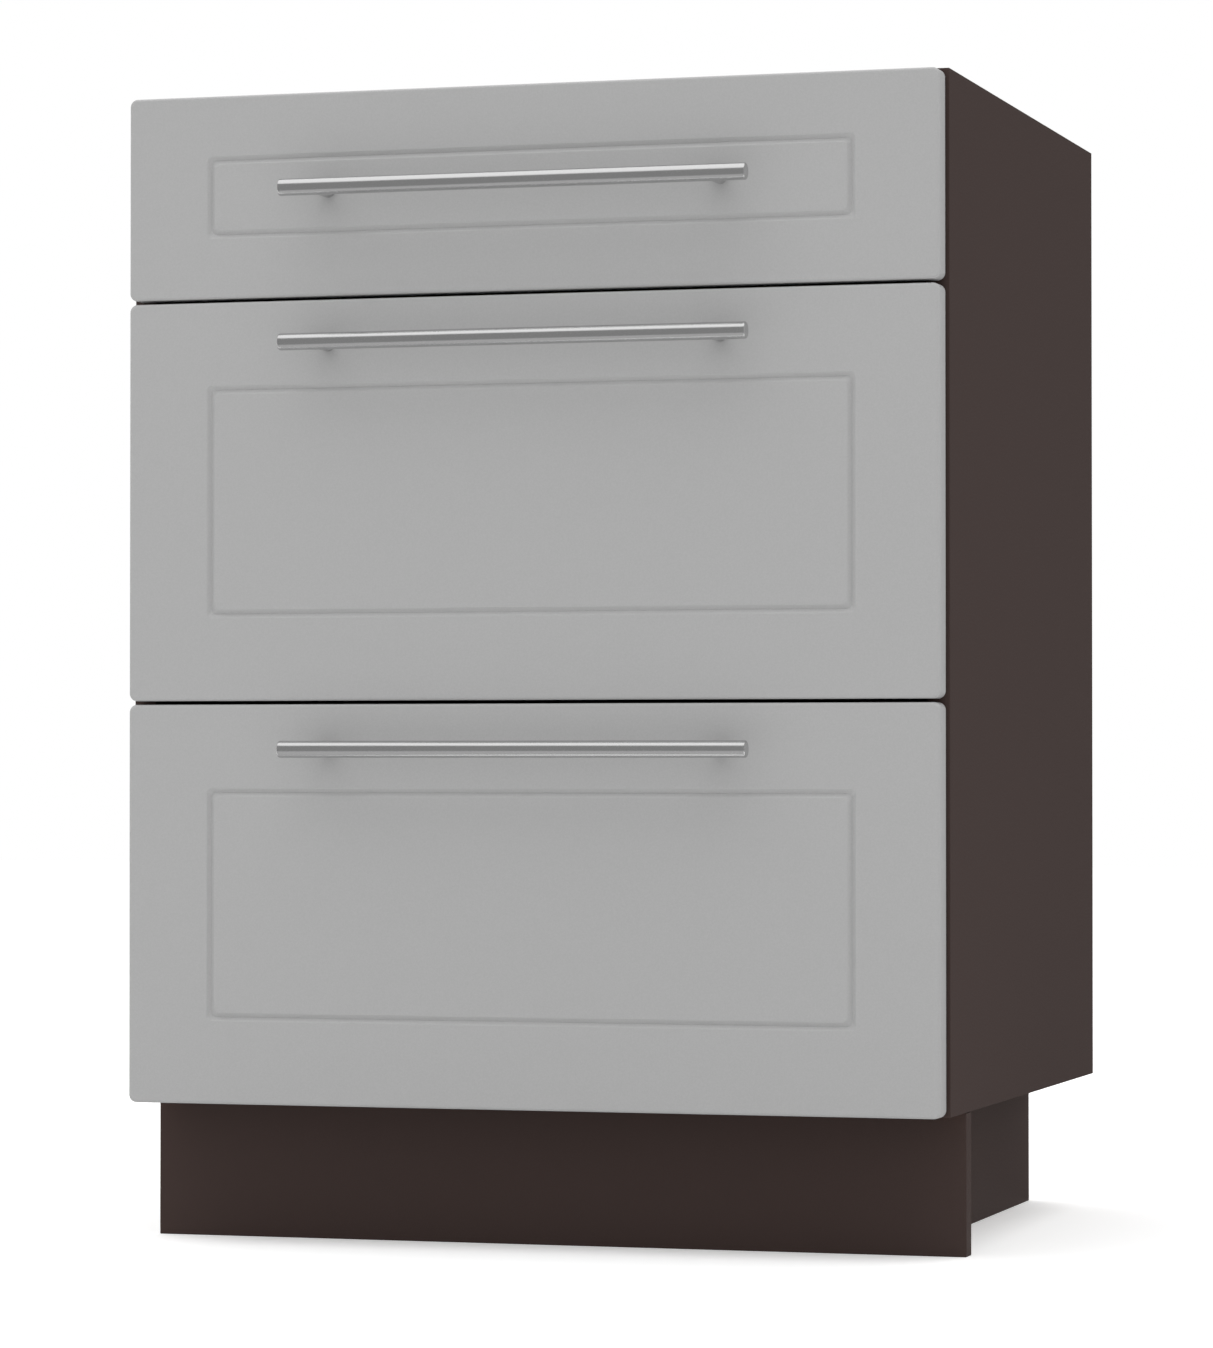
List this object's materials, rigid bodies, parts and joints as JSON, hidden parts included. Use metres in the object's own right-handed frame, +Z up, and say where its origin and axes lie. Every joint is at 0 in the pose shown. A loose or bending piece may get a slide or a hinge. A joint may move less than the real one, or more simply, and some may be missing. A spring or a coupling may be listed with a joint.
{
  "type": "base cabinet with drawers",
  "caption": "Kitchen base cabinet with drawers: chipboard carcass on a set-back plinth, grooved grey fronts, bar handles and full-extension runners.",
  "frame": {"origin": "on the floor, under the middle of the object's bounding box", "axes": "+X to the right seen from the front, +Y to the back, so that the drawers open towards -Y, +Z up"},
  "size_m": [0.6, 0.555, 0.82],
  "materials": {
    "carcass_board": "matte dark brown melamine on chipboard",
    "plinth_board": "matte dark brown melamine on chipboard",
    "drawer_board": "matte dark brown melamine on chipboard",
    "hardboard": "thin hardboard, raw at the back",
    "grey_front": "satin light grey foil on milled fibreboard",
    "handle_steel": "satin brushed steel",
    "zinc_steel": "zinc-plated sheet steel",
    "zinc_screw": "zinc-plated steel"
  },
  "bodies": {
    "carcass": {"side_panel_left": "carcass_board", "side_panel_right": "carcass_board", "bottom_panel": "carcass_board", "top_rail_front": "carcass_board", "top_rail_rear": "carcass_board", "back_panel": "hardboard", "plinth_front": "plinth_board", "plinth_side_left": "plinth_board", "plinth_side_right": "plinth_board", "runner_outer_top_left": "zinc_steel", "runner_outer_top_right": "zinc_steel", "runner_outer_middle_left": "zinc_steel", "runner_outer_middle_right": "zinc_steel", "runner_outer_bottom_left": "zinc_steel", "runner_outer_bottom_right": "zinc_steel"},
    "drawer_top": {"drawer_front_top": "grey_front", "box_front_top": "drawer_board", "box_side_top_left": "drawer_board", "box_side_top_right": "drawer_board", "box_back_top": "drawer_board", "box_bottom_top": "hardboard", "handle_bar_top": "handle_steel", "handle_post_top_left": "handle_steel", "handle_screw_top_left": "zinc_screw", "runner_inner_top_left": "zinc_steel", "handle_post_top_right": "handle_steel", "handle_screw_top_right": "zinc_screw", "runner_inner_top_right": "zinc_steel"},
    "runner_middles_top": {"runner_middle_top_left": "zinc_steel", "runner_middle_top_right": "zinc_steel"},
    "drawer_middle": {"drawer_front_middle": "grey_front", "box_front_middle": "drawer_board", "box_side_middle_left": "drawer_board", "box_side_middle_right": "drawer_board", "box_back_middle": "drawer_board", "box_bottom_middle": "hardboard", "handle_bar_middle": "handle_steel", "handle_post_middle_left": "handle_steel", "handle_screw_middle_left": "zinc_screw", "runner_inner_middle_left": "zinc_steel", "handle_post_middle_right": "handle_steel", "handle_screw_middle_right": "zinc_screw", "runner_inner_middle_right": "zinc_steel"},
    "runner_middles_middle": {"runner_middle_middle_left": "zinc_steel", "runner_middle_middle_right": "zinc_steel"},
    "drawer_bottom": {"drawer_front_bottom": "grey_front", "box_front_bottom": "drawer_board", "box_side_bottom_left": "drawer_board", "box_side_bottom_right": "drawer_board", "box_back_bottom": "drawer_board", "box_bottom_bottom": "hardboard", "handle_bar_bottom": "handle_steel", "handle_post_bottom_left": "handle_steel", "handle_screw_bottom_left": "zinc_screw", "runner_inner_bottom_left": "zinc_steel", "handle_post_bottom_right": "handle_steel", "handle_screw_bottom_right": "zinc_screw", "runner_inner_bottom_right": "zinc_steel"},
    "runner_middles_bottom": {"runner_middle_bottom_left": "zinc_steel", "runner_middle_bottom_right": "zinc_steel"}
  },
  "joints": [
    {"name": "drawer_top_slide", "type": "slide", "parent": "carcass", "child": "drawer_top", "axis": [0, -1, 0], "range_m": [0, 0.45]},
    {"name": "runner_top_slide", "type": "slide", "parent": "carcass", "child": "runner_middles_top", "axis": [0, -1, 0], "range_m": [0, 0.225]},
    {"name": "drawer_middle_slide", "type": "slide", "parent": "carcass", "child": "drawer_middle", "axis": [0, -1, 0], "range_m": [0, 0.45]},
    {"name": "runner_middle_slide", "type": "slide", "parent": "carcass", "child": "runner_middles_middle", "axis": [0, -1, 0], "range_m": [0, 0.225]},
    {"name": "drawer_bottom_slide", "type": "slide", "parent": "carcass", "child": "drawer_bottom", "axis": [0, -1, 0], "range_m": [0, 0.45]},
    {"name": "runner_bottom_slide", "type": "slide", "parent": "carcass", "child": "runner_middles_bottom", "axis": [0, -1, 0], "range_m": [0, 0.225]}
  ],
  "couplings": [
    {"joint": "runner_top_slide", "follows": "drawer_top_slide", "ratio": 0.5},
    {"joint": "runner_middle_slide", "follows": "drawer_middle_slide", "ratio": 0.5},
    {"joint": "runner_bottom_slide", "follows": "drawer_bottom_slide", "ratio": 0.5}
  ]
}
